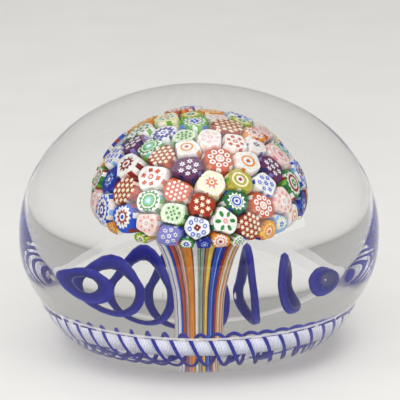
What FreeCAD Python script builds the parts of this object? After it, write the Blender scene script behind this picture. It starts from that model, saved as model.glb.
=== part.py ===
import FreeCAD, Part
import math
import os

# A close-packed mushroom paperweight, in millimetres.
# +Z is up and the origin is the centre of the ground foot.
# The clear glass is two gathers that meet at a seam below the girdle: a base
# pad with a star cut underneath, and a dome over it. Inside stand the
# mushroom, a tuft of drawn canes that run from their faces on the cap down
# into one stem, and the torsade, a gauze ring with three threads coiled round it.

doc = FreeCAD.newDocument("paperweight")

sheet = doc.addObject("Spreadsheet::Sheet", "Sizes")
ROWS = [
    # clear glass
    ("dome_radius", 40.0),
    ("dome_rise", 32.7),
    ("dome_power", 2.1),
    ("girdle_height", 24.95),
    ("side_drop", 25.9),
    ("side_power", 2.24),
    ("seam_height", 11.9),
    ("foot_radius", 22.7),
    ("foot_bulge", 2.46),
    ("star_radius", 18.6),
    ("star_hub", 1.6),
    ("star_depth", 0.9),
    ("star_width", 3.6),
    # torsade
    ("ring_radius", 27.7),
    ("ring_height", 9.2),
    ("gauze_radius", 1.7),
    ("casing_radius", 2.85),
    ("coil_radius", 4.4),
    ("thread_radius", 0.42),
    ("coil_turns", 17.0),
    ("coil_strands", 3.0),
    ("ring_gap", 0.05),
    # mushroom
    ("cap_radius", 17.1),
    ("cap_height", 28.1),
    ("cap_rise", 11.6),
    ("cap_drop", 5.5),
    ("cap_reach_deg", 110.0),
    ("stem_radius", 2.5),
    ("stem_foot", 2.2),
    ("neck_radius", 2.9),
    ("neck_height", 31.0),
    ("neck_dip", 6.0),
    ("neck_power", 4.0),
    ("bend_length", 7.5),
    ("face_lean_deg", 95.0),
    ("cane_gap", 0.07),
    ("sleeve_gap", 0.12),
]
for row, (alias, value) in enumerate(ROWS, start=1):
    sheet.set("A%d" % row, alias)
    sheet.set("B%d" % row, str(value))
    sheet.setAlias("B%d" % row, alias)
doc.recompute()


def size(alias):
    return float(getattr(sheet, alias))


R = size("dome_radius")
RISE = size("dome_rise")
PU = size("dome_power")
ZE = size("girdle_height")
DROP = size("side_drop")
PL = size("side_power")
ZS = size("seam_height")
FOOT = size("foot_radius")
BULGE = size("foot_bulge")
RT = size("ring_radius")
ZT = size("ring_height")
CR = size("cap_radius")
CZ = size("cap_height")
CU = size("cap_rise")
CD = size("cap_drop")
REACH = math.radians(size("cap_reach_deg"))
SR = size("stem_radius")
SF = size("stem_foot")
NR = size("neck_radius")
NZ = size("neck_height")
ND = size("neck_dip")
NP = size("neck_power")
BL = size("bend_length")
LEAN = math.radians(size("face_lean_deg"))

made = []


def V(x, y, z):
    return FreeCAD.Vector(x, y, z)


def spline(points):
    curve = Part.BSplineCurve()
    curve.interpolate([V(r, 0, z) for r, z in points])
    return curve.toShape()


def side_radius(z):
    # outline of the gather below the girdle
    return R * (1.0 - ((ZE - z) / DROP) ** PL) ** (1.0 / PL)


def revolve(edges):
    wire = Part.Wire(Part.__sortEdges__(edges))
    face = Part.Face(wire)
    solid = face.revolve(V(0, 0, 0), V(0, 0, 1), 360)
    if solid.Volume < 0:
        solid.reverse()
    return solid


def line(a, b):
    return Part.LineSegment(V(a[0], 0, a[1]), V(b[0], 0, b[1])).toShape()


def add(label, shape, parent=None):
    obj = doc.addObject("Part::Feature", label)
    obj.Label = label
    obj.Shape = shape
    obj.Placement = FreeCAD.Placement(V(0, 0, 0), FreeCAD.Rotation(0, 0, 0))
    made.append(obj)
    return obj


# ---------------------------------------------------------------- mushroom map
# Each cane follows one streamline of the tuft. rho runs from 0 on the axis to
# 1 at the lowest ring of faces; t runs from 0 at the stem's foot to 1 at the face.


def streamline(rho, t):
    # a cubic from the stem's foot up through the neck, leaning outwards to its face
    phi = rho * REACH
    h = CU if math.cos(phi) >= 0 else CD
    pr, pz = CR * math.sin(phi), CZ + h * math.cos(phi)
    reach = BL * (0.55 + 0.45 * rho)
    p0 = (rho * SR, SF)
    p1 = (rho * NR, NZ - ND * rho ** NP)
    p2 = (pr - math.sin(LEAN * rho) * reach, pz - math.cos(LEAN * rho) * reach)
    u = 1.0 - t
    a, b, d, e = u * u * u, 3 * u * u * t, 3 * u * t * t, t * t * t
    return (a * p0[0] + b * p1[0] + d * p2[0] + e * pr,
            a * p0[1] + b * p1[1] + d * p2[1] + e * pz)


def tuft(rho, theta, t):
    r, z = streamline(rho, t)
    return (r * math.cos(theta), r * math.sin(theta), z)


def cap_metric(rho):
    # millimetres on the cap per unit of rho
    a = streamline(max(rho - 1e-3, 0.0), 1.0)
    b = streamline(rho + 1e-3, 1.0)
    return math.hypot(b[0] - a[0], b[1] - a[1]) / (rho + 1e-3 - max(rho - 1e-3, 0.0))


STEPS = (0.0, 0.15, 0.3, 0.45, 0.58, 0.7, 0.81, 0.91, 1.0)
AROUND = 12


def cane(rho0, theta0, half, turn=1):
    """One drawn cane: its face is `half` in radius on the cap, and the same
    cell of the tuft is followed down into the stem."""
    x0, y0 = rho0 * math.cos(theta0), rho0 * math.sin(theta0)
    k = cap_metric(rho0)
    # a periodic cubic lies inside its poles by this much
    half = half * 3.0 / (2.0 + math.cos(2 * math.pi / AROUND))
    rface = streamline(rho0, 1.0)[0]
    poles = []
    for t in STEPS:
        c = V(*tuft(rho0, theta0, t))
        a = V(*tuft(rho0, theta0, min(t + 0.01, 1.0)))
        b = V(*tuft(rho0, theta0, max(t - 0.01, 0.0)))
        axis = a.sub(b)
        axis.normalize()
        pts = []
        for i in range(AROUND):
            al = turn * 2 * math.pi * i / AROUND
            dr, dt = half * math.cos(al), half * math.sin(al)
            if rho0 < 0.3:
                # near the axis the cell is laid out in the plane of the disc
                px = x0 + (dr * math.cos(theta0) - dt * math.sin(theta0)) / k
                py = y0 + (dr * math.sin(theta0) + dt * math.cos(theta0)) / k
                rho, th = math.hypot(px, py), math.atan2(py, px)
            else:
                rho, th = rho0 + dr / k, theta0 + dt / rface
            p = V(*tuft(rho, th, t))
            off = p.sub(c).dot(axis)
            pts.append(p.sub(V(axis.x * off, axis.y * off, axis.z * off)))
        poles.append(pts)
    rows = len(poles)
    surface = Part.BSplineSurface()
    surface.buildFromPolesMultsKnots(
        poles,
        [4] + [1] * (rows - 4) + [4], [1] * (AROUND + 1),
        [float(i) for i in range(rows - 2)], [float(i) for i in range(AROUND + 1)],
        False, True, 3, 3)
    side = surface.toShape()
    ends = []
    for row in (poles[0], poles[-1]):
        curve = Part.BSplineCurve()
        curve.buildFromPoles(row, True, 3)
        ends.append(Part.Face(Part.Wire([curve.toShape()])))
    shell = Part.makeShell([side] + ends)
    shell.sewShape()
    solid = Part.makeSolid(Part.Shell(shell.Faces))
    if solid.Volume < 0 and turn == 1:
        # the other way round, the faces point outwards
        return cane(rho0, theta0, half * (2.0 + math.cos(2 * math.pi / AROUND)) / 3.0, -1)
    return solid


# Each cane's face on the cap: polar angle from the top, bearing, radius of the
# face and the pattern of the rod it was sliced from.
SITES = [
    (31.87, 126.19, 2.00, "yellow_dots"),
    (13.70, 100.66, 2.15, "green_cog_blue_star"),
    (39.42, 79.57, 1.88, "orange_tubes"),
    (20.84, 34.99, 2.43, "red_stars"),
    (50.35, 58.88, 1.94, "blue_white"),
    (47.66, 32.78, 1.82, "pink_cog"),
    (34.90, -1.18, 1.82, "white_purple_star"),
    (21.99, 164.34, 2.00, "blue_cog_white_star"),
    (41.51, 150.85, 2.08, "white_green"),
    (16.36, -116.55, 2.00, "white_orange_ring"),
    (8.94, -41.98, 2.21, "white_pink_dots"),
    (28.88, -143.67, 2.17, "red_stars"),
    (27.94, -62.26, 2.45, "coral_tubes"),
    (37.22, -33.78, 2.45, "white_orange_ring"),
    (33.64, -101.14, 2.39, "purple_stars"),
    (45.19, -79.16, 2.45, "cream_salmon_star"),
    (46.92, -54.26, 2.16, "olive_ring"),
    (55.95, -33.17, 2.21, "white_blue_rods"),
    (68.91, -8.52, 2.17, "green_red_concentric"),
    (45.91, -134.65, 2.45, "white_red_petals"),
    (51.01, -107.86, 2.29, "red_honeycomb"),
    (63.46, -148.62, 2.10, "red_stars"),
    (63.27, -126.42, 1.99, "green_cog_turquoise"),
    (69.50, -107.18, 1.95, "pale_green_dots"),
    (81.43, -141.99, 2.14, "blue_red_cog"),
    (81.00, -123.84, 1.84, "pink_star_ring"),
    (62.52, -87.73, 1.94, "red_seven_stars"),
    (61.79, -63.45, 2.02, "dark_green_blue_ring"),
    (69.91, -44.56, 2.14, "coral_tubes"),
    (79.97, -90.97, 1.89, "white_rings_clover"),
    (75.80, -73.38, 2.07, "shamrock"),
    (82.76, -56.42, 2.19, "red_stars"),
    (88.32, -108.13, 1.94, "lilac_stars"),
    (99.17, -97.67, 1.09, "green_blue_star"),
    (94.87, -77.03, 1.44, "orange_cog"),
    (99.55, -64.81, 1.06, "white_green"),
    (99.02, -86.67, 1.10, "cobalt"),
    (99.77, -126.81, 1.04, "green_yellow"),
    (99.52, -149.46, 1.06, "orange"),
    (65.47, -171.91, 2.14, "cobalt"),
    (48.93, -165.05, 2.09, "white_dark_red"),
    (86.61, -175.39, 1.94, "pink_oval"),
    (88.69, -5.63, 1.98, "cobalt"),
    (74.04, -26.04, 2.03, "pink_star_ring"),
    (90.91, -32.34, 1.78, "blue_yellow"),
    (92.13, -44.66, 1.67, "orange"),
    (27.69, 67.19, 1.89, "white_pink_dots"),
    (55.03, 95.17, 1.93, "white_blue_rods"),
    (59.66, 44.55, 1.73, "cream_salmon_star"),
    (75.40, 46.81, 1.76, "orange_tubes"),
    (90.72, 54.61, 1.80, "white_dark_red"),
    (92.21, 68.93, 1.67, "olive_ring"),
    (58.04, 152.54, 2.00, "dark_green_blue_ring"),
    (72.30, 142.26, 2.19, "blue_red_cog"),
    (43.07, 106.33, 1.94, "red_honeycomb"),
    (41.30, 171.42, 1.95, "purple_stars"),
    (28.09, 100.14, 1.98, "green_yellow"),
    (72.00, 125.42, 2.05, "pink_cog"),
    (90.88, 136.21, 1.78, "green_blue_star"),
    (57.89, 78.34, 2.27, "white_purple_star"),
    (74.59, 174.32, 1.95, "green_red_concentric"),
    (92.62, 8.91, 1.63, "red_seven_stars"),
    (72.41, 9.43, 2.21, "white_rings_clover"),
    (52.78, 5.46, 2.31, "pink_oval"),
    (22.42, -15.20, 2.17, "white_red_petals"),
    (59.09, 114.76, 2.00, "pale_green_dots"),
    (69.67, 63.19, 2.45, "blue_cog_white_star"),
    (78.16, 78.51, 2.13, "yellow_dots"),
    (95.20, 87.00, 1.42, "shamrock"),
    (58.36, 21.65, 1.87, "green_cog_turquoise"),
    (72.56, 92.48, 2.05, "green_cog_blue_star"),
    (75.83, 108.89, 1.99, "blue_yellow"),
    (35.28, 20.26, 1.84, "orange_cog"),
    (92.07, 23.94, 1.68, "lilac_stars"),
    (72.87, 29.99, 2.05, "blue_white"),
    (57.01, 171.72, 1.94, "white_blue_rods"),
    (92.08, 39.18, 1.68, "red_seven_stars"),
    (84.66, -161.50, 2.20, "blue_white"),
    (50.60, -15.16, 2.27, "purple_stars"),
    (92.64, 152.73, 1.63, "shamrock"),
    (91.44, -18.04, 1.73, "white_orange_ring"),
    (94.79, 169.07, 1.45, "pink_cog"),
    (73.97, 159.20, 1.94, "orange_tubes"),
    (91.01, 120.44, 1.77, "olive_ring"),
    (94.17, 102.36, 1.50, "orange_cog"),
    (53.06, 132.82, 2.45, "orange"),
    (38.23, 47.42, 1.95, "green_yellow"),
    (30.95, -171.73, 2.00, "green_cog_turquoise"),
    (8.88, -172.89, 2.02, "pale_green_dots"),
]

GAP = size("cane_gap")
patterns = {}
for phi_deg, theta_deg, half, pattern in SITES:
    patterns.setdefault(pattern, []).append(
        cane(math.radians(phi_deg) / REACH, math.radians(theta_deg), half - GAP))
for pattern in sorted(patterns):
    add("cane_" + pattern, Part.makeCompound(patterns[pattern]))

# ---------------------------------------------------------------- clear glass
# The mushroom stands in a sleeve that clears its outermost streamline.
G = size("sleeve_gap")
skirt = []
for i in range(17):
    t = i / 16.0
    a = streamline(1.0, max(t - 0.01, 0.0))
    b = streamline(1.0, min(t + 0.01, 1.0))
    tr, tz = b[0] - a[0], b[1] - a[1]
    n = math.hypot(tr, tz)
    r, z = streamline(1.0, t)
    skirt.append((r + G * tz / n, z - G * tr / n))
skirt[0] = (SR + G, SF - G)
crown = []
for i in range(21):
    phi = REACH * (1 - i / 20.0)
    s, c = math.sin(phi), math.cos(phi)
    h = CU if c >= 0 else CD
    nr, nz = s / CR, c / h
    n = math.hypot(nr, nz)
    crown.append((CR * s + G * nr / n, CZ + h * c + G * nz / n))
crown[-1] = (0.0, CZ + CU + G)
sleeve = revolve([
    line((0, SF - G), skirt[0]),
    spline(skirt),
    line(skirt[-1], crown[0]),
    spline(crown),
    line(crown[-1], (0, SF - G)),
])

rs = side_radius(ZS)
over = [(side_radius(ZS + (ZE - ZS) * i / 8.0), ZS + (ZE - ZS) * i / 8.0) for i in range(8)]
for i in range(25):
    a = math.pi / 2 * i / 24.0
    z = math.sin(a)
    over.append((R * max(0.0, 1.0 - z ** PU) ** (1.0 / PU), ZE + RISE * z))
over[-1] = (0.0, ZE + RISE)
gather = revolve([
    line((0, ZS), over[0]),
    spline(over),
    line(over[-1], (0, ZS)),
])
# the torsade lies in a channel that crosses the seam
trough = Part.makeTorus(RT, size("coil_radius") + size("thread_radius") + size("ring_gap"), V(0, 0, ZT))
add("crystal_dome", gather.cut(sleeve).cut(trough))

nx, nz = ZS, -(rs - FOOT)
n = math.hypot(nx, nz)
nx, nz = nx / n, nz / n
under = []
for i in range(13):
    t = i / 12.0
    b = BULGE * 4 * t * (1 - t)
    under.append((FOOT + (rs - FOOT) * t + b * nx, ZS * t + b * nz))
low = min(z for r, z in under)
under = [(r, max(z, 0.0) if i else 0.0) for i, (r, z) in enumerate(under)]
pad = revolve([
    line((0, 0), under[0]),
    spline(under),
    line(under[-1], (0, ZS)),
    line((0, ZS), (0, 0)),
])

# star cut: pointed rays ground into the foot from a small round hub
RAYS = 24
hub, reach, depth, width = size("star_hub"), size("star_radius"), size("star_depth"), size("star_width")


def ray(angle):
    k = 1.0 - hub / reach
    a, b = V(hub * 0.6, -width / 2 * k, -0.2), V(hub * 0.6, width / 2 * k, -0.2)
    top, tip = V(hub * 0.6, 0, depth * k), V(reach, 0, -0.2)
    faces = [Part.Face(Part.makePolygon([p, q, s, p])) for p, q, s in
             ((a, b, top), (a, tip, b), (a, top, tip), (b, tip, top))]
    solid = Part.makeSolid(Part.makeShell(faces))
    if solid.Volume < 0:
        solid.reverse()
    solid.rotate(V(0, 0, 0), V(0, 0, 1), angle)
    return solid


star = Part.makeCylinder(hub, depth + 0.2, V(0, 0, -0.2))
star = star.multiFuse([ray(360.0 * i / RAYS) for i in range(RAYS)])
add("crystal_base", pad.cut(sleeve).cut(star).cut(trough))

# ---------------------------------------------------------------- torsade
gauze = doc.addObject("Part::Torus", "torsade_gauze")
gauze.setExpression("Radius1", "Sizes.ring_radius")
gauze.setExpression("Radius2", "Sizes.gauze_radius")
gauze.setExpression("Placement.Base.z", "Sizes.ring_height")
gauze.Label = "torsade_gauze"
made.append(gauze)

outer = doc.addObject("Part::Torus", "casing_outer")
outer.setExpression("Radius1", "Sizes.ring_radius")
outer.setExpression("Radius2", "Sizes.casing_radius")
outer.setExpression("Placement.Base.z", "Sizes.ring_height")
inner = doc.addObject("Part::Torus", "casing_inner")
inner.setExpression("Radius1", "Sizes.ring_radius")
inner.setExpression("Radius2", "Sizes.gauze_radius + Sizes.ring_gap")
inner.setExpression("Placement.Base.z", "Sizes.ring_height")
casing = doc.addObject("Part::Cut", "torsade_casing")
casing.Base = outer
casing.Tool = inner
casing.Label = "torsade_casing"
made.append(casing)

TURNS = int(round(size("coil_turns")))
RC = size("coil_radius")
RW = size("thread_radius")
STRANDS = int(round(size("coil_strands")))
SPANS = 6
PER = 12


def coil(strand, k):
    # k counts steps round the ring; each strand makes a right-handed coil
    a = 2 * math.pi * k / (TURNS * PER)
    th = -2 * math.pi * (k / PER + strand / STRANDS)
    r = RT + RC * math.cos(th)
    return V(r * math.cos(a), r * math.sin(a), ZT + RC * math.sin(th))


spans = []
for strand in range(STRANDS):
    for s in range(SPANS):
        n0 = s * TURNS * PER // SPANS
        n1 = (s + 1) * TURNS * PER // SPANS
        curve = Part.BSplineCurve()
        curve.interpolate([coil(strand, k) for k in range(n0, n1 + 1)])
        path = Part.Wire([curve.toShape()])
        tangent = coil(strand, n0 + 0.02).sub(coil(strand, n0 - 0.02))
        tangent.normalize()
        section = Part.Wire([Part.Circle(coil(strand, n0), tangent, RW).toShape()])
        span = path.makePipeShell([section], True, True)
        if span.Volume < 0:
            span.reverse()
        spans.append(span)
add("torsade_thread", Part.makeCompound(spans))

doc.recompute()

bad = []
for obj in doc.Objects:
    for flag in obj.State:
        if flag in ("Invalid", "Error"):
            bad.append("%s is %s" % (obj.Label, flag))
for obj in made:
    if obj.Shape.isNull() or not obj.Shape.isValid() or not obj.Shape.Solids:
        bad.append("%s has no valid solid" % obj.Label)
if bad:
    raise RuntimeError("; ".join(bad))

os.makedirs("parts", exist_ok=True)
for obj in made:
    obj.Shape.exportStep("parts/%s.step" % obj.Label)
    print("%-32s %2d solids %10.2f mm3" % (obj.Label, len(obj.Shape.Solids), obj.Shape.Volume))
print(len(made), "nodes")
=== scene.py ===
import math
import random

import bpy
import numpy as np
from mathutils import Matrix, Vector


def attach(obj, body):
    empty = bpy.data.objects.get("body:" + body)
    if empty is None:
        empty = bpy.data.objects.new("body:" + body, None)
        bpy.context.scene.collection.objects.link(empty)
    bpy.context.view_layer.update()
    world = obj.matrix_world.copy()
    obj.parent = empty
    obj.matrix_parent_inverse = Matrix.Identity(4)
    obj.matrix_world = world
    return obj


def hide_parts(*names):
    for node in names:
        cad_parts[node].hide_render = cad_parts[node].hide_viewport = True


# A close-packed mushroom paperweight: one lump of clear glass with a soft crease
# low on its side and a star cut under its foot, a tuft of patterned canes drawn
# down into a striped stem, and a gauze ring with cobalt threads coiled round it.

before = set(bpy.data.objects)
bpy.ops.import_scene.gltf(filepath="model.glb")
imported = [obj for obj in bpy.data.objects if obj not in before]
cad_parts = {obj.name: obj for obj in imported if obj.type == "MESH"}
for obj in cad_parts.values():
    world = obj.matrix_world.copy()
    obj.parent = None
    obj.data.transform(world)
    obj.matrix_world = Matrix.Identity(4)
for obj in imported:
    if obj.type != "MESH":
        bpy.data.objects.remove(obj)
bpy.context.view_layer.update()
random.seed(11)
rng = np.random.RandomState(7)
scene = bpy.context.scene
MM = 1e-3

# ------------------------------------------------------------------ materials


def new_material(name):
    m = bpy.data.materials.new(name)
    m.use_nodes = True
    nt = m.node_tree
    nt.nodes.clear()
    out = nt.nodes.new("ShaderNodeOutputMaterial")
    return m, nt, out


def noise(nt, scale, detail=3.0, rough=0.55, vec=None, distort=0.0):
    n = nt.nodes.new("ShaderNodeTexNoise")
    n.inputs["Scale"].default_value = scale
    n.inputs["Detail"].default_value = detail
    n.inputs["Roughness"].default_value = rough
    n.inputs["Distortion"].default_value = distort
    if vec is not None:
        nt.links.new(vec, n.inputs["Vector"])
    return n


def ramp(nt, fac, stops):
    r = nt.nodes.new("ShaderNodeValToRGB")
    while len(r.color_ramp.elements) < len(stops):
        r.color_ramp.elements.new(0.5)
    for el, (p, c) in zip(r.color_ramp.elements, stops):
        el.position = p
        el.color = (c[0], c[1], c[2], 1.0)
    nt.links.new(fac, r.inputs["Fac"])
    return r


def shade(c, k):
    return tuple(min(1.0, max(0.0, x * k)) for x in c)


def toward(c, d, k):
    return tuple(a * (1 - k) + b * k for a, b in zip(c, d))


_glass_colours = {}


def coloured(name, rgb, streak=0.26, rough=0.35):
    """Opaque coloured glass: drawn streaks along the cane and a finer mottle."""
    if name in _glass_colours:
        return _glass_colours[name]
    m, nt, out = new_material("glass_" + name)
    tc = nt.nodes.new("ShaderNodeTexCoord")
    mp = nt.nodes.new("ShaderNodeMapping")
    mp.inputs["Scale"].default_value = (1.0, 1.0, 0.16)
    nt.links.new(tc.outputs["Object"], mp.inputs["Vector"])
    long = noise(nt, 1500.0, 3.0, 0.6, mp.outputs["Vector"])
    fine = noise(nt, 3200.0, 2.0, 0.6, tc.outputs["Object"])
    mix = nt.nodes.new("ShaderNodeMath")
    mix.operation = "MULTIPLY_ADD"
    nt.links.new(long.outputs["Fac"], mix.inputs[0])
    mix.inputs[1].default_value = 0.7
    sub = nt.nodes.new("ShaderNodeMath")
    sub.operation = "MULTIPLY"
    nt.links.new(fine.outputs["Fac"], sub.inputs[0])
    sub.inputs[1].default_value = 0.3
    nt.links.new(sub.outputs[0], mix.inputs[2])
    r = ramp(nt, mix.outputs[0], [
        (0.30, shade(rgb, 1 - streak)),
        (0.50, rgb),
        (0.72, toward(shade(rgb, 1 + streak * 0.8), (1, 1, 1), streak * 0.10)),
    ])
    p = nt.nodes.new("ShaderNodeBsdfPrincipled")
    nt.links.new(r.outputs["Color"], p.inputs["Base Color"])
    p.inputs["Roughness"].default_value = rough
    p.inputs["Specular IOR Level"].default_value = 0.12
    nt.links.new(p.outputs["BSDF"], out.inputs["Surface"])
    _glass_colours[name] = m
    return m


C = {
    "white": (0.90, 0.89, 0.86),
    "milk": (0.86, 0.82, 0.76),
    "pink_white": (0.90, 0.70, 0.62),
    "cream": (0.92, 0.84, 0.58),
    "yellow": (0.90, 0.66, 0.10),
    "pale_yellow": (0.88, 0.86, 0.45),
    "orange": (0.80, 0.27, 0.02),
    "amber": (0.70, 0.30, 0.04),
    "ochre": (0.45, 0.20, 0.04),
    "brown": (0.17, 0.06, 0.03),
    "coral": (0.56, 0.080, 0.018),
    "salmon": (0.80, 0.26, 0.14),
    "red": (0.36, 0.024, 0.006),
    "deep_red": (0.22, 0.012, 0.008),
    "rose": (0.80, 0.30, 0.33),
    "pink": (0.88, 0.52, 0.50),
    "purple": (0.12, 0.02, 0.10),
    "lilac": (0.24, 0.23, 0.62),
    "cobalt": (0.008, 0.012, 0.30),
    "blue": (0.015, 0.09, 0.62),
    "sky": (0.25, 0.48, 0.80),
    "navy": (0.008, 0.012, 0.12),
    "turquoise": (0.18, 0.58, 0.55),
    "dark_green": (0.015, 0.14, 0.045),
    "green": (0.03, 0.25, 0.04),
    "leaf": (0.14, 0.42, 0.04),
    "pale_green": (0.55, 0.74, 0.42),
    "grey_green": (0.34, 0.40, 0.30),
    "olive": (0.46, 0.40, 0.06),
}

# ------------------------------------------------------------------ cane faces
# A face is a list of flat shapes in a unit disc, laid one over the other.


def disc(c, r, x=0.0, y=0.0, n=28):
    return (c, x, y, [r] * n, 0.0)


def star(c, points, r1, r2, x=0.0, y=0.0, rot=0.0):
    return (c, x, y, [r1 if i % 2 == 0 else r2 for i in range(points * 2)], rot)


def cog(c, teeth, r1, r2, x=0.0, y=0.0, rot=0.0):
    out = []
    for _ in range(teeth):
        out += [r1, r1, r2, r2]
    return (c, x, y, out, rot)


def petal(c, r, x, y, squash=0.6):
    # a petal leaning towards the centre of the face
    n = 16
    a0 = math.atan2(y, x)
    out = []
    for i in range(n):
        a = 2 * math.pi * i / n
        out.append(r * squash / math.hypot(squash * math.cos(a), math.sin(a)))
    return (c, x, y, out, a0)


def around(n, radius, make, rot=0.0):
    out = []
    for i in range(n):
        a = rot + 2 * math.pi * i / n
        out += make(radius * math.cos(a), radius * math.sin(a))
    return out


def hexes(step, rings):
    pts = []
    for q in range(-rings, rings + 1):
        for r in range(-rings, rings + 1):
            if abs(q + r) <= rings:
                pts.append((step * (q + r / 2.0), step * r * math.sqrt(3) / 2))
    return pts


def stars_on(base, spots, c, r, centre=None, points=6):
    out = []
    for x, y in spots:
        out.append(star(c, points, r, r * 0.5, x, y, 0.3))
        if centre:
            out.append(disc(centre, r * 0.28, x, y, 8))
    return out


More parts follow.
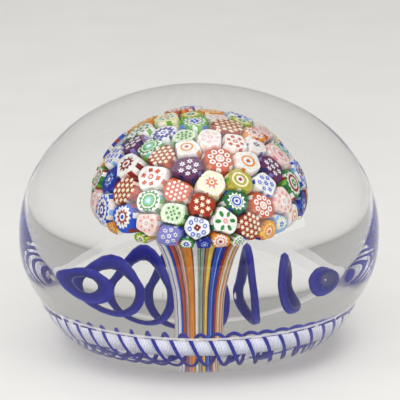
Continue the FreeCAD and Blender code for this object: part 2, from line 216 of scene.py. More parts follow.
# pattern: ground colour of the cell, shapes, colours down its side
P = {
    "yellow_dots": ("pale_yellow", [cog("cream", 16, 0.98, 0.86), disc("white", 0.74)]
                    + around(8, 0.52, lambda x, y: [disc("leaf", 0.11, x, y, 10)])
                    + [star("orange", 6, 0.30, 0.15), disc("cream", 0.10)],
                    ["cream", "pale_yellow", "white", "cream", "leaf"]),
    "green_cog_blue_star": ("leaf", [cog("white", 12, 0.90, 0.74), cog("leaf", 12, 0.70, 0.60), disc("white", 0.54),
                                     star("blue", 6, 0.48, 0.24), disc("white", 0.13)],
                            ["leaf", "white", "leaf", "blue", "green"]),
    "orange_tubes": ("orange", around(8, 0.68, lambda x, y: [disc("cream", 0.20, x, y, 14), disc("orange", 0.10, x, y, 10)])
                     + [disc("cream", 0.32), disc("coral", 0.20), disc("cream", 0.09)],
                     ["orange", "cream", "orange", "amber", "orange"]),
    "red_stars": ("red", stars_on("red", [(x, y) for x, y in hexes(0.46, 2)], "cream", 0.21, "white"),
                  ["red", "coral", "red", "pink_white", "deep_red"]),
    "blue_white": ("white", [cog("blue", 14, 0.95, 0.80), disc("white", 0.70), cog("cobalt", 10, 0.54, 0.40), disc("white", 0.26), disc("blue", 0.12)],
                   ["white", "blue", "white", "sky", "white"]),
    "pink_cog": ("pink", [cog("white", 12, 0.90, 0.76), cog("rose", 12, 0.66, 0.52), disc("white", 0.40), star("rose", 6, 0.30, 0.14)],
                 ["pink", "rose", "white", "pink", "coral"]),
    "white_purple_star": ("white", [disc("pink", 0.82), disc("white", 0.76), star("purple", 6, 0.40, 0.20), disc("white", 0.11)],
                          ["white", "pink_white", "white", "lilac", "white"]),
    "blue_cog_white_star": ("white", [cog("cobalt", 12, 0.96, 0.78), star("white", 8, 0.64, 0.38), disc("blue", 0.24), disc("white", 0.10)],
                            ["white", "cobalt", "white", "blue", "white"]),
    "white_green": ("white", around(9, 0.70, lambda x, y: [disc("green", 0.13, x, y, 10)])
                    + [star("green", 6, 0.38, 0.18), disc("white", 0.12)],
                    ["white", "leaf", "white", "green", "milk"]),
    "white_orange_ring": ("white", [cog("milk", 16, 0.92, 0.84), disc("orange", 0.56), disc("white", 0.40), star("coral", 6, 0.26, 0.12)],
                          ["white", "milk", "orange", "white", "pink_white"]),
    "white_pink_dots": ("white", around(7, 0.62, lambda x, y: [disc("pink", 0.17, x, y, 12), disc("white", 0.08, x, y, 8)])
                        + [disc("pink", 0.22), disc("white", 0.12)],
                        ["white", "pink_white", "white", "pink", "white"]),
    "coral_tubes": ("coral", around(8, 0.66, lambda x, y: [disc("white", 0.215, x, y, 14), disc("coral", 0.10, x, y, 10)])
                    + [disc("white", 0.33), disc("salmon", 0.22), disc("white", 0.10)],
                    ["coral", "salmon", "coral", "white", "coral"]),
    "purple_stars": ("purple", stars_on("purple", [(x, y) for x, y in hexes(0.58, 1)], "white", 0.25, "lilac"),
                     ["purple", "navy", "purple", "lilac", "purple"]),
    "cream_salmon_star": ("cream", [cog("white", 18, 0.99, 0.86), cog("pale_yellow", 18, 0.80, 0.70), disc("white", 0.62),
                                    star("salmon", 8, 0.54, 0.30), disc("cream", 0.20), disc("coral", 0.08)],
                          ["cream", "white", "cream", "salmon", "pale_yellow"]),
    "olive_ring": ("olive", [disc("cream", 0.70), disc("olive", 0.54), disc("white", 0.34), star("red", 6, 0.24, 0.11)],
                   ["olive", "yellow", "olive", "cream", "leaf"]),
    "white_blue_rods": ("white", around(6, 0.60, lambda x, y: [star("blue", 6, 0.235, 0.12, x, y), disc("white", 0.07, x, y, 8)])
                        + [star("blue", 6, 0.25, 0.12), disc("white", 0.07, 0, 0, 8)],
                        ["white", "sky", "white", "blue", "white"]),
    "green_red_concentric": ("green", [cog("white", 14, 0.90, 0.78), disc("red", 0.66), disc("white", 0.46), cog("green", 8, 0.34, 0.22), disc("white", 0.10)],
                             ["green", "white", "red", "leaf", "dark_green"]),
    "white_red_petals": ("white", around(6, 0.60, lambda x, y: [cog("coral", 1, 0.22, 0.22, x, y, math.atan2(y, x) + math.pi / 4)])
                         + [disc("coral", 0.20), disc("white", 0.10)],
                         ["white", "pink_white", "coral", "white", "pink_white"]),
    "red_honeycomb": ("coral", stars_on("coral", hexes(0.40, 2), "white", 0.165, None),
                      ["coral", "red", "orange", "coral", "pink_white"]),
    "green_cog_turquoise": ("white", [cog("green", 14, 0.96, 0.80), disc("white", 0.70), cog("leaf", 14, 0.62, 0.54), disc("turquoise", 0.40), star("white", 6, 0.28, 0.14)],
                            ["white", "green", "white", "leaf", "turquoise"]),
    "pale_green_dots": ("pale_green", [cog("white", 16, 0.98, 0.88), disc("pale_green", 0.80)]
                        + around(8, 0.56, lambda x, y: [disc("dark_green", 0.115, x, y, 10)])
                        + around(4, 0.20, lambda x, y: [disc("dark_green", 0.10, x, y, 10)], 0.4),
                        ["pale_green", "white", "leaf", "pale_green", "green"]),
    "blue_red_cog": ("blue", [cog("white", 14, 0.88, 0.74), cog("red", 10, 0.58, 0.42), disc("white", 0.30), disc("blue", 0.16)],
                     ["blue", "white", "cobalt", "red", "blue"]),
    "pink_star_ring": ("pink_white", around(8, 0.66, lambda x, y: [star("rose", 5, 0.17, 0.08, x, y)])
                       + [disc("white", 0.42), star("rose", 6, 0.34, 0.18), disc("white", 0.10)],
                       ["pink_white", "pink", "white", "rose", "pink_white"]),
    "red_seven_stars": ("red", stars_on("red", hexes(0.60, 1), "cream", 0.27, "white"),
                        ["red", "coral", "deep_red", "white", "red"]),
    "dark_green_blue_ring": ("dark_green", [star("white", 12, 0.84, 0.62), cog("green", 12, 0.58, 0.54), disc("white", 0.50), disc("blue", 0.42),
                                            disc("white", 0.27), star("cobalt", 6, 0.20, 0.10)],
                             ["dark_green", "white", "green", "blue", "dark_green"]),
    "white_rings_clover": ("white", around(8, 0.70, lambda x, y: [disc("blue", 0.20, x, y, 14), disc("white", 0.12, x, y, 12), disc("sky", 0.05, x, y, 8)])
                           + around(4, 0.16, lambda x, y: [disc("deep_red", 0.15, x, y, 12)]) + [disc("white", 0.07, 0, 0, 8)],
                           ["white", "blue", "white", "sky", "white"]),
    "shamrock": ("white", around(6, 0.62, lambda x, y: [petal("green", 0.25, x, y)])
                 + [star("rose", 6, 0.28, 0.14), disc("white", 0.08, 0, 0, 8)],
                 ["white", "green", "white", "leaf", "pink_white"]),
    "lilac_stars": ("lilac", stars_on("lilac", hexes(0.58, 1), "white", 0.26, "blue"),
                    ["lilac", "blue", "white", "lilac", "sky"]),
    "green_blue_star": ("green", [cog("white", 12, 0.88, 0.72), disc("white", 0.70), star("blue", 8, 0.60, 0.34), star("white", 6, 0.26, 0.13)],
                        ["green", "white", "blue", "green", "leaf"]),
    "orange_cog": ("orange", [cog("white", 12, 0.90, 0.74), cog("salmon", 12, 0.64, 0.54), disc("white", 0.44), star("red", 6, 0.34, 0.16)],
                   ["orange", "white", "amber", "coral", "orange"]),
    "cobalt": ("cobalt", [star("sky", 8, 0.62, 0.40), disc("cobalt", 0.36), star("white", 6, 0.26, 0.12)],
               ["cobalt", "blue", "navy", "cobalt", "sky"]),
    "green_yellow": ("leaf", [cog("yellow", 12, 0.86, 0.70), disc("white", 0.54), cog("green", 8, 0.40, 0.28), disc("white", 0.14)],
                     ["leaf", "yellow", "green", "white", "leaf"]),
    "white_dark_red": ("white", [cog("deep_red", 10, 0.66, 0.48), disc("white", 0.34), star("red", 6, 0.26, 0.13)],
                       ["white", "deep_red", "white", "pink_white", "red"]),
    "pink_oval": ("pink", [disc("white", 0.84), disc("pink", 0.66), disc("white", 0.42), disc("rose", 0.26)],
                  ["pink", "white", "pink", "rose", "pink_white"]),
    "blue_yellow": ("sky", [cog("pale_yellow", 12, 0.84, 0.68), disc("white", 0.54), star("blue", 6, 0.44, 0.22), disc("pale_yellow", 0.12)],
                    ["sky", "pale_yellow", "blue", "white", "sky"]),
    "orange": ("orange", [disc("yellow", 0.80), disc("orange", 0.66), cog("cream", 10, 0.44, 0.32), disc("coral", 0.22)],
               ["orange", "amber", "yellow", "orange", "ochre"]),
}

# ------------------------------------------------------------------ mushroom
CR, CZ, CU, CD = 17.1, 28.1, 11.6, 5.5
REACH = math.radians(110.0)
SR, SF = 2.5, 2.2
NR, NZ, ND, NP = 2.9, 31.0, 6.0, 4.0
BL, LEAN = 7.5, math.radians(95.0)


def streamline(rho, t):
    phi = rho * REACH
    c, s = np.cos(phi), np.sin(phi)
    h = np.where(c >= 0, CU, CD)
    pr, pz = CR * s, CZ + h * c
    reach = BL * (0.55 + 0.45 * rho)
    u = 1.0 - t
    a, b, d, e = u ** 3, 3 * u * u * t, 3 * u * t * t, t ** 3
    r = a * rho * SR + b * rho * NR + d * (pr - np.sin(LEAN * rho) * reach) + e * pr
    z = a * SF + b * (NZ - ND * rho ** NP) + d * (pz - np.cos(LEAN * rho) * reach) + e * pz
    return r, z


def cap_point(rho, theta, lift=0.0):
    phi = rho * REACH
    c, s = np.cos(phi), np.sin(phi)
    h = np.where(c >= 0, CU, CD)
    nr, nz = s / CR, c / h
    n = np.hypot(nr, nz)
    r, z = CR * s + lift * nr / n, CZ + h * c + lift * nz / n
    return np.stack([r * np.cos(theta), r * np.sin(theta), z], -1)


def cap_coords(p):
    r = np.hypot(p[..., 0], p[..., 1])
    dz = p[..., 2] - CZ
    h = np.where(dz >= 0, CU, CD)
    return np.arctan2(r / CR, dz / h) / REACH, np.arctan2(p[..., 1], p[..., 0])


SITES = [
    (31.87, 126.19, 2.00, "yellow_dots"),
    (13.70, 100.66, 2.15, "green_cog_blue_star"),
    (39.42, 79.57, 1.88, "orange_tubes"),
    (20.84, 34.99, 2.43, "red_stars"),
    (50.35, 58.88, 1.94, "blue_white"),
    (47.66, 32.78, 1.82, "pink_cog"),
    (34.90, -1.18, 1.82, "white_purple_star"),
    (21.99, 164.34, 2.00, "blue_cog_white_star"),
    (41.51, 150.85, 2.08, "white_green"),
    (16.36, -116.55, 2.00, "white_orange_ring"),
    (8.94, -41.98, 2.21, "white_pink_dots"),
    (28.88, -143.67, 2.17, "red_stars"),
    (27.94, -62.26, 2.45, "coral_tubes"),
    (37.22, -33.78, 2.45, "white_orange_ring"),
    (33.64, -101.14, 2.39, "purple_stars"),
    (45.19, -79.16, 2.45, "cream_salmon_star"),
    (46.92, -54.26, 2.16, "olive_ring"),
    (55.95, -33.17, 2.21, "white_blue_rods"),
    (68.91, -8.52, 2.17, "green_red_concentric"),
    (45.91, -134.65, 2.45, "white_red_petals"),
    (51.01, -107.86, 2.29, "red_honeycomb"),
    (63.46, -148.62, 2.10, "red_stars"),
    (63.27, -126.42, 1.99, "green_cog_turquoise"),
    (69.50, -107.18, 1.95, "pale_green_dots"),
    (81.43, -141.99, 2.14, "blue_red_cog"),
    (81.00, -123.84, 1.84, "pink_star_ring"),
    (62.52, -87.73, 1.94, "red_seven_stars"),
    (61.79, -63.45, 2.02, "dark_green_blue_ring"),
    (69.91, -44.56, 2.14, "coral_tubes"),
    (79.97, -90.97, 1.89, "white_rings_clover"),
    (75.80, -73.38, 2.07, "shamrock"),
    (82.76, -56.42, 2.19, "red_stars"),
    (88.32, -108.13, 1.94, "lilac_stars"),
    (99.17, -97.67, 1.09, "green_blue_star"),
    (94.87, -77.03, 1.44, "orange_cog"),
    (99.55, -64.81, 1.06, "white_green"),
    (99.02, -86.67, 1.10, "cobalt"),
    (99.77, -126.81, 1.04, "green_yellow"),
    (99.52, -149.46, 1.06, "orange"),
    (65.47, -171.91, 2.14, "cobalt"),
    (48.93, -165.05, 2.09, "white_dark_red"),
    (86.61, -175.39, 1.94, "pink_oval"),
    (88.69, -5.63, 1.98, "cobalt"),
    (74.04, -26.04, 2.03, "pink_star_ring"),
    (90.91, -32.34, 1.78, "blue_yellow"),
    (92.13, -44.66, 1.67, "orange"),
    (27.69, 67.19, 1.89, "white_pink_dots"),
    (55.03, 95.17, 1.93, "white_blue_rods"),
    (59.66, 44.55, 1.73, "cream_salmon_star"),
    (75.40, 46.81, 1.76, "orange_tubes"),
    (90.72, 54.61, 1.80, "white_dark_red"),
    (92.21, 68.93, 1.67, "olive_ring"),
    (58.04, 152.54, 2.00, "dark_green_blue_ring"),
    (72.30, 142.26, 2.19, "blue_red_cog"),
    (43.07, 106.33, 1.94, "red_honeycomb"),
    (41.30, 171.42, 1.95, "purple_stars"),
    (28.09, 100.14, 1.98, "green_yellow"),
    (72.00, 125.42, 2.05, "pink_cog"),
    (90.88, 136.21, 1.78, "green_blue_star"),
    (57.89, 78.34, 2.27, "white_purple_star"),
    (74.59, 174.32, 1.95, "green_red_concentric"),
    (92.62, 8.91, 1.63, "red_seven_stars"),
    (72.41, 9.43, 2.21, "white_rings_clover"),
    (52.78, 5.46, 2.31, "pink_oval"),
    (22.42, -15.20, 2.17, "white_red_petals"),
    (59.09, 114.76, 2.00, "pale_green_dots"),
    (69.67, 63.19, 2.45, "blue_cog_white_star"),
    (78.16, 78.51, 2.13, "yellow_dots"),
    (95.20, 87.00, 1.42, "shamrock"),
    (58.36, 21.65, 1.87, "green_cog_turquoise"),
    (72.56, 92.48, 2.05, "green_cog_blue_star"),
    (75.83, 108.89, 1.99, "blue_yellow"),
    (35.28, 20.26, 1.84, "orange_cog"),
    (92.07, 23.94, 1.68, "lilac_stars"),
    (72.87, 29.99, 2.05, "blue_white"),
    (57.01, 171.72, 1.94, "white_blue_rods"),
    (92.08, 39.18, 1.68, "red_seven_stars"),
    (84.66, -161.50, 2.20, "blue_white"),
    (50.60, -15.16, 2.27, "purple_stars"),
    (92.64, 152.73, 1.63, "shamrock"),
    (91.44, -18.04, 1.73, "white_orange_ring"),
    (94.79, 169.07, 1.45, "pink_cog"),
    (73.97, 159.20, 1.94, "orange_tubes"),
    (91.01, 120.44, 1.77, "olive_ring"),
    (94.17, 102.36, 1.50, "orange_cog"),
    (53.06, 132.82, 2.45, "orange"),
    (38.23, 47.42, 1.95, "green_yellow"),
    (30.95, -171.73, 2.00, "green_cog_turquoise"),
    (8.88, -172.89, 2.02, "pale_green_dots"),
]

site_rho = np.array([math.radians(s[0]) / REACH for s in SITES])
site_th = np.array([math.radians(s[1]) for s in SITES])
site_r = np.array([s[2] for s in SITES])
site_p = cap_point(site_rho, site_th)


def frame_at(i):
    """Centre of a face, with its two directions in the cap's surface: outwards and round."""
    rho, th = site_rho[i], site_th[i]
    a, b = cap_point(max(rho - 1e-3, 0.0), th), cap_point(rho + 1e-3, th)
    e1 = (b - a) / np.linalg.norm(b - a)
    e2 = np.array([-math.sin(th), math.cos(th), 0.0])
    return site_p[i], e1, e2


EDGE = 0.985
FACE = 0.83


def cell_outline(i, count):
    """How far the cane's squeezed section reaches in each direction, in mm on the cap."""
    c, e1, e2 = frame_at(i)
    d = np.linalg.norm(site_p - c, axis=1)
    near = [j for j in np.argsort(d)[1:14] if d[j] < 9.0]
    al = 2 * np.pi * np.arange(count) / count
    lo, hi = np.full(count, 0.2), np.full(count, site_r[i] * 1.42 + 0.1)
    for _ in range(14):
        mid = (lo + hi) / 2
        q = c + e1 * (mid * np.cos(al))[:, None] + e2 * (mid * np.sin(al))[:, None]
        rho, th = cap_coords(q)
        pts = cap_point(rho, th)
        own = np.linalg.norm(pts - c, axis=1) - site_r[i]
        ok = rho < EDGE
        for j in near:
            ok &= own < np.linalg.norm(pts - site_p[j], axis=1) - site_r[j]
        lo, hi = np.where(ok, mid, lo), np.where(ok, hi, mid)
    out = lo - 0.025
    # the glass softened the corners
    return (out * 2 + np.roll(out, 1) + np.roll(out, -1)) / 4.0


def bearing_colours():
    """Colours of the stripes that show on the stem, by bearing."""
    front = [
        (-90, "ochre"), (-82, "milk"), (-70, "white"), (-62, "blue"), (-59, "white"), (-50, "blue"), (-47, "white"), (-41, "coral"),
        (-35, "brown"), (-32, "pink"), (-26, "ochre"), (-21, "orange"), (-11, "brown"), (-8, "white"), (-2, "grey_green"), (1.5, "dark_green"),
        (3, "grey_green"), (8, "navy"), (9.5, "ochre"), (14, "yellow"), (20, "navy"), (23, "blue"), (30, "sky"), (32, "cobalt"), (39, "red"),
        (44, "amber"), (51, "milk"), (56, "amber"), (63, "pink_white"), (69, "ochre"), (76, "cream"), (83, "coral"),
    ]
    back = [(90 + k * 6.0, random.choice(["white", "orange", "blue", "coral", "cream", "leaf", "pink", "ochre", "cobalt", "milk"]))
            for k in range(30)]
    return front + back


STRIPES = bearing_colours()


def stripe_at(th):
    deg = (math.degrees(th) + 90.0 + 90.0) % 360.0 - 90.0
    name = STRIPES[0][1]
    for start, c in STRIPES:
        if deg >= start:
            name = c
    return name


def build_canes():
    groups = {}
    for i, s in enumerate(SITES):
        groups.setdefault(s[3], []).append(i)
    made = []
    for pattern, members in sorted(groups.items()):
        ground, shapes, sides = P[pattern]
        verts, faces, slots = [], [], []
        used = []

        def slot_of(c):
            if c not in used:
                used.append(c)
            return used.index(c)

        for i in members:
            N = 36
            c, e1, e2 = frame_at(i)
            reach = cell_outline(i, N)
            al = 2 * np.pi * np.arange(N) / N
            spin = rng.rand() * 2 * math.pi

            # side: every point of the outline is followed down its streamline
            rim = c + e1 * (reach * np.cos(al))[:, None] + e2 * (reach * np.sin(al))[:, None]
            rho, th = cap_coords(rim)
            rho = np.minimum(rho, EDGE)
            ts = np.array([0.0, 0.06, 0.13, 0.2, 0.27, 0.34, 0.41, 0.48, 0.55, 0.61, 0.67, 0.73, 0.78, 0.83, 0.87, 0.905, 0.935, 0.965, 0.985, 1.0])
            # the end of each rod is rounded over, so that its striped side shows round the face
            shoulder = np.array([1.0] * 14 + [0.995, 0.98, 0.955, 0.915, FACE * 1.035, FACE])
            sink = 0.75 * rng.rand() ** 2
            t_end = 1.0 - sink / (3 * BL * (0.55 + 0.45 * site_rho[i]))
            start = len(verts)
            for t, f in zip(ts, shoulder):
                if f < 1.0:
                    q = c + e1 * (f * reach * np.cos(al))[:, None] + e2 * (f * reach * np.sin(al))[:, None]
                    rho_t, th_t = cap_coords(q)
                    rho_t = np.minimum(rho_t, EDGE)
                else:
                    rho_t, th_t = rho, th
                r, z = streamline(rho_t, t * t_end)
                for k in range(N):
                    verts.append((r[k] * math.cos(th_t[k]), r[k] * math.sin(th_t[k]), z[k]))
            rows = len(ts)
            pick = spin * 10
            for k in range(N):
                k2 = (k + 1) % N
                mid_rho = (rho[k] + rho[k2]) / 2
                if mid_rho > 0.90:
                    mid_th = math.atan2(math.sin(th[k]) + math.sin(th[k2]), math.cos(th[k]) + math.cos(th[k2]))
                    sc = slot_of(stripe_at(mid_th))
                else:
                    sc = slot_of(sides[int(k * 18 / N + pick) % len(sides)])
                for a in range(rows - 1):
                    faces.append((start + a * N + k, start + a * N + k2, start + (a + 1) * N + k2, start + (a + 1) * N + k))
                    slots.append(sc)
            # closed foot of the rod
            foot = len(verts)
            verts.append(tuple(np.mean([verts[start + k] for k in range(N)], axis=0)))
            for k in range(N):
                faces.append((foot, start + (k + 1) % N, start + k))
                slots.append(slot_of(ground))

            # face: the ground of the cell, then its shapes
            top = start + (rows - 1) * N
            rings = []
            for f in (0.75 * FACE, 0.5 * FACE, 0.25 * FACE):
                q = c + e1 * (f * reach * np.cos(al))[:, None] + e2 * (f * reach * np.sin(al))[:, None]
                pr, pt = cap_coords(q)
                rings.append(len(verts))
                verts.extend(map(tuple, cap_point(np.minimum(pr, EDGE), pt, -sink)))
            mid = len(verts)
            verts.append(tuple(cap_point(site_rho[i], site_th[i], -sink)))
            last = top
            gs = slot_of(ground)
            for base in rings:
                for k in range(N):
                    k2 = (k + 1) % N
                    faces.append((last + k, last + k2, base + k2, base + k))
                    slots.append(gs)
                last = base
            for k in range(N):
                faces.append((last + k, last + (k + 1) % N, mid))
                slots.append(gs)

            # the drawn section is a little squeezed, so its shapes follow the outline
            R0 = site_r[i]
            soft = np.convolve(np.tile(reach, 3), np.ones(9) / 9, "same")[N:2 * N]
            for layer, (col, x, y, radii, rot) in enumerate(shapes):
                n = len(radii)
                if math.hypot(x, y) + max(radii) > 1.02 and math.hypot(x, y) > 0.5 and len(shapes) > 12:
                    # a star of a bundle that would cross the rim
                    if math.hypot(x, y) > 0.95:
                        continue
                lift = 0.014 + 0.009 * min(layer, 7)
                pts = []
                for f in (1.0, 0.5):
                    for k in range(n):
                        a = rot + 2 * math.pi * k / n
                        if n == 4:
                            a += 0.0
                        px, py = x + f * radii[k] * math.cos(a), y + f * radii[k] * math.sin(a)
                        pts.append((px, py))
                pts.append((x, y))
                pts = np.array(pts)
                rad, ang = np.hypot(pts[:, 0], pts[:, 1]), np.arctan2(pts[:, 1], pts[:, 0]) + spin
                idx = (ang / (2 * np.pi) * N) % N
                lo_i = np.floor(idx).astype(int) % N
                w = idx - np.floor(idx)
                local = soft[lo_i] * (1 - w) + soft[(lo_i + 1) % N] * w
                rr = rad * np.minimum(local * FACE, R0 * 1.05)
                q = c + e1 * (rr * np.cos(ang))[:, None] + e2 * (rr * np.sin(ang))[:, None]
                pr, pt = cap_coords(q)
                q = cap_point(np.minimum(pr, EDGE), pt, lift - sink)
                b = len(verts)
                verts.extend(map(tuple, q))
                sc = slot_of(col)
                for k in range(n):
                    k2 = (k + 1) % n
                    faces.append((b + k, b + k2, b + n + k2, b + n + k))
                    slots.append(sc)
                    faces.append((b + n + k, b + n + k2, b + 2 * n))
                    slots.append(sc)
                # a skirt and a floor let down into the face, so that each shape is a closed body
                u = len(verts)
                verts.extend(map(tuple, cap_point(np.minimum(pr[:n], EDGE), pt[:n], -0.03 - sink)))
                for k in range(n):
                    k2 = (k + 1) % n
                    faces.append((b + k, u + k, u + k2, b + k2))
                    slots.append(sc)
                faces.append(tuple(u + k for k in reversed(range(n))))
                slots.append(sc)
        me = bpy.data.meshes.new("cane_" + pattern + "_m")
        me.from_pydata([(x * MM, y * MM, z * MM) for x, y, z in verts], [], faces)
        for c in used:
            me.materials.append(coloured(c, C[c]))
        for p, s in zip(me.polygons, slots):
            p.material_index = s
            p.use_smooth = True
        me.update()
        me.set_sharp_from_angle(angle=math.radians(40))
        ob = bpy.data.objects.new("canes_" + pattern, me)
        scene.collection.objects.link(ob)
        made.append((ob, pattern))
    return made


for ob, pattern in build_canes():
    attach(ob, "root")
    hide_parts("cane_" + pattern)

# ------------------------------------------------------------------ torsade
RT, ZT, RG, RC, RW, TURNS, STRANDS = 27.7, 9.2, 1.7, 4.4, 0.42, 17, 3


def swept(name, centres, radius, sides, closed=True, uv=False):
    pts = np.array(centres)
    N = len(pts)
    tan = np.roll(pts, -1, 0) - np.roll(pts, 1, 0)
    tan /= np.linalg.norm(tan, axis=1)[:, None]
    verts, faces = [], []
    for i in range(N):
        u = np.cross(tan[i], (0, 0, 1.0))
        if np.linalg.norm(u) < 1e-3:
            u = np.cross(tan[i], (1.0, 0, 0))
        u /= np.linalg.norm(u)
        v = np.cross(u, tan[i])
        rad = radius[i] if hasattr(radius, "__len__") else radius
        for k in range(sides):
            a = 2 * math.pi * k / sides
            verts.append(tuple((pts[i] + rad * (math.cos(a) * u + math.sin(a) * v)) * MM))
    for i in range(N):
        j = (i + 1) % N
        for k in range(sides):
            k2 = (k + 1) % sides
            faces.append((i * sides + k, j * sides + k, j * sides + k2, i * sides + k2))
    me = bpy.data.meshes.new(name)
    me.from_pydata(verts, [], faces)
    for p in me.polygons:
        p.use_smooth = True
    me.update()
    ob = bpy.data.objects.new(name, me)
    scene.collection.objects.link(ob)
    return ob


def joined(name, parts):
    verts, faces = [], []
    for part in parts:
        b = len(verts)
        verts += [tuple(v.co) for v in part.data.vertices]
        faces += [tuple(b + v for v in p.vertices) for p in part.data.polygons]
        bpy.data.objects.remove(part)
    me = bpy.data.meshes.new(name + "_m")
    me.from_pydata(verts, [], faces)
    for p in me.polygons:
        p.use_smooth = True
    me.update()
    ob = bpy.data.objects.new(name, me)
    scene.collection.objects.link(ob)
    return ob


# gauze: a soft white core with fine lattice threads laid round it both ways
n = 240
core = swept("torsade_core", [(RT * math.cos(2 * math.pi * k / n), RT * math.sin(2 * math.pi * k / n), ZT) for k in range(n)], RG - 0.16, 20)
core.data.materials.append(coloured("gauze", (0.66, 0.68, 0.86), 0.10, 0.5))
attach(core, "root")
lattice_parts = []
for way in (1, -1):
    for strand in range(5):
        laps = 60 * way
        m = 60 * 10
        pts = []
        for k in range(m):
            a = 2 * math.pi * k / m
            th = laps * a + 2 * math.pi * strand / 5.0
            r = RT + (RG - 0.10) * math.cos(th)
            pts.append((r * math.cos(a), r * math.sin(a), ZT + (RG - 0.10) * math.sin(th)))
        part = swept("lattice", pts, 0.085, 4)
        lattice_parts.append(part)
lattice = joined("torsade_lattice", lattice_parts)
lattice.data.materials.append(coloured("lattice", (0.93, 0.93, 0.95), 0.08, 0.4))
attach(lattice, "root")
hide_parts("torsade_gauze")

parts = []
m = TURNS * 30
for strand in range(STRANDS):
    pts, rad = [], []
    for k in range(m):
        a = 2 * math.pi * k / m
        th = -TURNS * a - 2 * math.pi * strand / STRANDS
        lean = 0.10 * math.sin(3 * a + strand) / RT + 0.16 * math.sin(11 * a + 2.1 * strand) / RT
        c = RC - 0.08 + 0.05 * math.sin(5 * a + 1.7 * strand)
        r = RT + c * math.cos(th)
        pts.append((r * math.cos(a + lean), r * math.sin(a + lean), ZT + c * math.sin(th)))
        rad.append(RW * (0.96 + 0.05 * math.sin(23 * a + strand) + 0.04 * math.sin(61 * a + 1.0)))
    parts.append(swept("strand", pts, rad, 8))
thread = joined("torsade_coil", parts)
thread.data.materials.append(coloured("thread", (0.001, 0.002, 0.27), 0.15, 0.4))
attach(thread, "root")
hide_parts("torsade_thread")

# ------------------------------------------------------------------ clear glass
R, RISE, PU, ZE, DROP, PL, ZS = 40.0, 32.7, 2.1, 24.95, 25.9, 2.24, 11.9
FOOT, BULGE = 22.7, 2.46
STAR_R, HUB, DEPTH, WIDTH, RAYS = 18.6, 1.6, 0.9, 3.6, 24
AROUND = RAYS * 8


def glass_profile():
    rs = R * (1 - ((ZE - ZS) / DROP) ** PL) ** (1 / PL)
    nx, nz = ZS, -(rs - FOOT)
    L = math.hypot(nx, nz)
    nx, nz = nx / L, nz / L
    prof = []
    steps = 34
    for i in range(steps + 1):
        t = 0.98 * i / (steps - 1) if i < steps else 1.0
        b = BULGE * 4 * t * (1 - t)
        prof.append((FOOT + (rs - FOOT) * t + b * nx, max(ZS * t + b * nz, 0.0 if i == 0 else 0.02)))
    for i in range(1, 50):
        z = ZS + 0.25 if i == 1 else ZS + (ZE - ZS) * (i - 1) / 48
        prof.append((R * (1 - ((ZE - z) / DROP) ** PL) ** (1 / PL), z))
    for i in range(1, 97):
        s = math.sin(math.pi / 2 * i / 96)
        prof.append((R * max(0.0, 1 - s ** PU) ** (1 / PU), ZE + RISE * s))
    prof[-1] = (0.0, ZE + RISE)
    return prof


def build_glass():
    verts, faces, flat = [], [], []
    rows = []

    def ring(points):
        b = len(verts)
        verts.extend(points)
        rows.append(b)
        return b

    # star cut, from the hub out: eight points to each ray
    hub_c = len(verts)
    verts.append((0, 0, DEPTH * 0.55))
    pitch = 2 * math.pi / RAYS
    radii = [HUB * 0.55, HUB, 2.4, 3.4, 4.6, 6.0, 7.6, 9.4, 11.4, 13.4, 15.4, 17.2, STAR_R]
    for r in radii:
        f = max(0.0, 1 - r / STAR_R)
        half = max(WIDTH / 2 * f, 0.02)
        zc = DEPTH * f * (1.0 if r > HUB else 0.8)
        half_angle = half / r
        m = pitch / 2
        e = min(half_angle, m * 0.96)
        ridge = zc * max(0.0, 1 - (r * e) / half) if half_angle > m else 0.0
        pts = []
        for k in range(RAYS):
            a0 = k * pitch
            for off, z in ((0, zc), (e / 2, (zc + ridge) / 2), (e, ridge), ((e + m) / 2, ridge), (m, ridge),
                           (pitch - (e + m) / 2, ridge), (pitch - e, ridge), (pitch - e / 2, (zc + ridge) / 2)):
                pts.append((r * math.cos(a0 + off), r * math.sin(a0 + off), z))
        ring(pts)
    prof = glass_profile()
    n_base = len(rows)
    for r, z in [(20.6, 0.0)] + prof[:-1]:
        ring([(r * math.cos(2 * math.pi * k / AROUND), r * math.sin(2 * math.pi * k / AROUND), z) for k in range(AROUND)])
    for k in range(AROUND):
        k2 = (k + 1) % AROUND
        faces.append((hub_c, rows[0] + k2, rows[0] + k))
        flat.append(True)
    for i in range(len(rows) - 1):
        A, B = rows[i], rows[i + 1]
        for k in range(AROUND):
            k2 = (k + 1) % AROUND
            faces.append((A + k, A + k2, B + k2, B + k))
            flat.append(i <= n_base)
    top = len(verts)
    verts.append((0, 0, prof[-1][1]))
    A = rows[-1]
    for k in range(AROUND):
        faces.append((A + k, A + (k + 1) % AROUND, top))
        flat.append(False)
    # the rows of faces round the crease take the second material, which carries the painted white highlight line
    crease_row = n_base + 1 + 34
    crease_highlight_faces = set()
    f0 = AROUND
    for i in range(len(rows) - 1):
        if crease_row - 1 <= i <= crease_row:
            crease_highlight_faces.update(range(f0 + i * AROUND, f0 + (i + 1) * AROUND))
    me = bpy.data.meshes.new("crystal_m")
    me.from_pydata([(x * MM, y * MM, z * MM) for x, y, z in verts], [], faces)
    for p, f in zip(me.polygons, flat):
        p.use_smooth = not f
    for k in crease_highlight_faces:
        me.polygons[k].material_index = 1
    me.update()
    me.set_sharp_from_angle(angle=math.radians(8))
    ob = bpy.data.objects.new("crystal_body", me)
    scene.collection.objects.link(ob)
    return ob


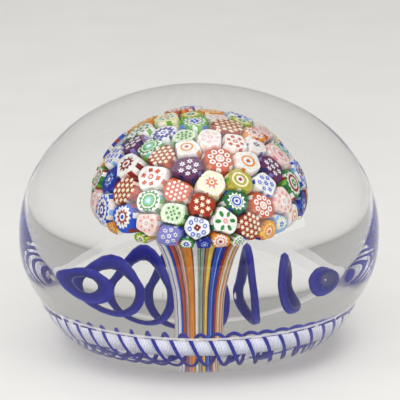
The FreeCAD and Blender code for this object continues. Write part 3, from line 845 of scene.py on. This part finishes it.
def clear_glass(name, painted_highlight=0.0):
    """Clear crystal; a nonzero second argument mixes in flat white diffuse, a painted highlight along the crease."""
    m, nt, out = new_material(name)
    tc = nt.nodes.new("ShaderNodeTexCoord")
    # faint drawn cords in the gather and light wear on the foot
    cord = noise(nt, 60.0, 2.0, 0.5, tc.outputs["Object"], 0.6)
    tint = ramp(nt, cord.outputs["Fac"], [(0.35, (0.955, 0.962, 0.955)), (0.65, (0.985, 0.988, 0.985))])
    sep = nt.nodes.new("ShaderNodeSeparateXYZ")
    nt.links.new(tc.outputs["Object"], sep.inputs[0])
    wear_and_highlight_noise = noise(nt, 900.0, 4.0, 0.7, tc.outputs["Object"])
    low = nt.nodes.new("ShaderNodeMapRange")
    low.inputs["From Min"].default_value = 0.0004
    low.inputs["From Max"].default_value = 0.0
    low.inputs["To Min"].default_value = 0.0
    low.inputs["To Max"].default_value = 0.16
    nt.links.new(sep.outputs["Z"], low.inputs["Value"])
    mul = nt.nodes.new("ShaderNodeMath")
    mul.operation = "MULTIPLY"
    nt.links.new(wear_and_highlight_noise.outputs["Fac"], mul.inputs[0])
    nt.links.new(low.outputs["Result"], mul.inputs[1])
    bump = nt.nodes.new("ShaderNodeBump")
    bump.inputs["Strength"].default_value = 0.012
    bump.inputs["Distance"].default_value = 0.001
    nt.links.new(cord.outputs["Fac"], bump.inputs["Height"])
    p = nt.nodes.new("ShaderNodeBsdfPrincipled")
    nt.links.new(tint.outputs["Color"], p.inputs["Base Color"])
    nt.links.new(mul.outputs[0], p.inputs["Roughness"])
    nt.links.new(bump.outputs["Normal"], p.inputs["Normal"])
    p.inputs["IOR"].default_value = 1.5
    p.inputs["Transmission Weight"].default_value = 1.0
    tr = nt.nodes.new("ShaderNodeBsdfTransparent")
    tr.inputs["Color"].default_value = (0.86, 0.86, 0.86, 1)
    lp = nt.nodes.new("ShaderNodeLightPath")
    mx = nt.nodes.new("ShaderNodeMath")
    mx.operation = "MAXIMUM"
    nt.links.new(lp.outputs["Is Shadow Ray"], mx.inputs[0])
    nt.links.new(lp.outputs["Is Diffuse Ray"], mx.inputs[1])
    mix = nt.nodes.new("ShaderNodeMixShader")
    nt.links.new(mx.outputs[0], mix.inputs["Fac"])
    # painted highlight: flat white diffuse mixed in stands in for the bright line of light along the crease; the wear
    # noise varies its strength
    if painted_highlight:
        highlight_white = nt.nodes.new("ShaderNodeBsdfDiffuse")
        highlight_white.inputs["Color"].default_value = (0.98, 0.97, 0.94, 1)
        highlight_fac = nt.nodes.new("ShaderNodeMath")
        highlight_fac.operation = "MULTIPLY_ADD"
        nt.links.new(wear_and_highlight_noise.outputs["Fac"], highlight_fac.inputs[0])
        highlight_fac.inputs[1].default_value = painted_highlight * 0.6
        highlight_fac.inputs[2].default_value = painted_highlight
        highlight_mix = nt.nodes.new("ShaderNodeMixShader")
        nt.links.new(highlight_fac.outputs[0], highlight_mix.inputs["Fac"])
        nt.links.new(p.outputs["BSDF"], highlight_mix.inputs[1])
        nt.links.new(highlight_white.outputs["BSDF"], highlight_mix.inputs[2])
        nt.links.new(highlight_mix.outputs["Shader"], mix.inputs[1])
    else:
        nt.links.new(p.outputs["BSDF"], mix.inputs[1])
    nt.links.new(tr.outputs["BSDF"], mix.inputs[2])
    nt.links.new(mix.outputs["Shader"], out.inputs["Surface"])
    return m


glass = build_glass()
glass.data.materials.append(clear_glass("crystal_clear"))
# second material: clear crystal with a painted white highlight, for the crease faces
glass.data.materials.append(clear_glass("crystal_crease_highlight", 0.36))
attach(glass, "root")
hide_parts("crystal_dome", "crystal_base", "torsade_casing")

# ------------------------------------------------------------------ stage
me = bpy.data.meshes.new("floor_m")
s = 3.0
me.from_pydata([(-s, -s, -0.0002), (s, -s, -0.0002), (s, s, -0.0002), (-s, s, -0.0002)], [], [(0, 1, 2, 3)])
floor = bpy.data.objects.new("floor", me)
scene.collection.objects.link(floor)
fm, nt, out = new_material("floor_paper")
tc = nt.nodes.new("ShaderNodeTexCoord")
fn = noise(nt, 40.0, 3.0, 0.5, tc.outputs["Object"])
fr = ramp(nt, fn.outputs["Fac"], [(0.3, (0.80, 0.79, 0.77)), (0.7, (0.83, 0.82, 0.80))])
fp = nt.nodes.new("ShaderNodeBsdfPrincipled")
nt.links.new(fr.outputs["Color"], fp.inputs["Base Color"])
fp.inputs["Roughness"].default_value = 0.6
fp.inputs["Specular IOR Level"].default_value = 0.2
nt.links.new(fp.outputs["BSDF"], out.inputs["Surface"])
me.materials.append(fm)

world = bpy.data.worlds.new("studio")
scene.world = world
world.use_nodes = True
world.node_tree.nodes["Background"].inputs[0].default_value = (1.0, 0.985, 0.955, 1)
world.node_tree.nodes["Background"].inputs[1].default_value = 0.36


def area(name, loc, target, size, power, colour=(1, 1, 1), size_y=None):
    light = bpy.data.lights.new(name, "AREA")
    light.energy = power
    light.color = colour
    light.shape = "RECTANGLE" if size_y else "SQUARE"
    light.size = size
    if size_y:
        light.size_y = size_y
    ob = bpy.data.objects.new(name, light)
    ob.location = loc
    ob.rotation_mode = "QUATERNION"
    ob.rotation_quaternion = (Vector(loc) - Vector(target)).to_track_quat("Z", "Y")
    scene.collection.objects.link(ob)
    return ob


area("key", (-0.35, -0.45, 0.75), (0, 0, 0.02), 0.55, 3.4)
area("fill", (0.55, -0.35, 0.45), (0, 0, 0.02), 0.45, 1.2)
area("top", (0.0, 0.15, 0.80), (0, 0, 0.02), 0.60, 2.2)

front = area("front", (0.0, -0.85, 0.22), (0, 0, 0.02), 0.40, 3.2)
front.visible_glossy = False
front.visible_transmission = False

cam = bpy.data.cameras.new("camera")
camera = bpy.data.objects.new("camera", cam)
scene.collection.objects.link(camera)
scene.camera = camera
ELEV = math.radians(15.98)
DIST = 0.772
PX = 178.2 / 40.0
CX, CY = 199.0, 339.43
cam.sensor_width = 36.0
cam.lens = DIST * 1000 * 36.0 / (400.0 / PX)
cam.clip_start = 0.01
back = Vector((0, -math.cos(ELEV), math.sin(ELEV)))
up = Vector((0, math.sin(ELEV), math.cos(ELEV)))
right = Vector((1, 0, 0))
target = right * ((200 - CX) / PX * MM) + up * ((CY - 200) / PX * MM)
camera.location = target + back * DIST
camera.rotation_mode = "QUATERNION"
camera.rotation_quaternion = back.to_track_quat("Z", "Y")

scene.cycles.max_bounces = 24
scene.cycles.transmission_bounces = 20
scene.cycles.glossy_bounces = 8
scene.cycles.transparent_max_bounces = 16
scene.cycles.caustics_reflective = False
scene.cycles.caustics_refractive = False
scene.cycles.use_denoising = True
scene.view_settings.view_transform = "Standard"
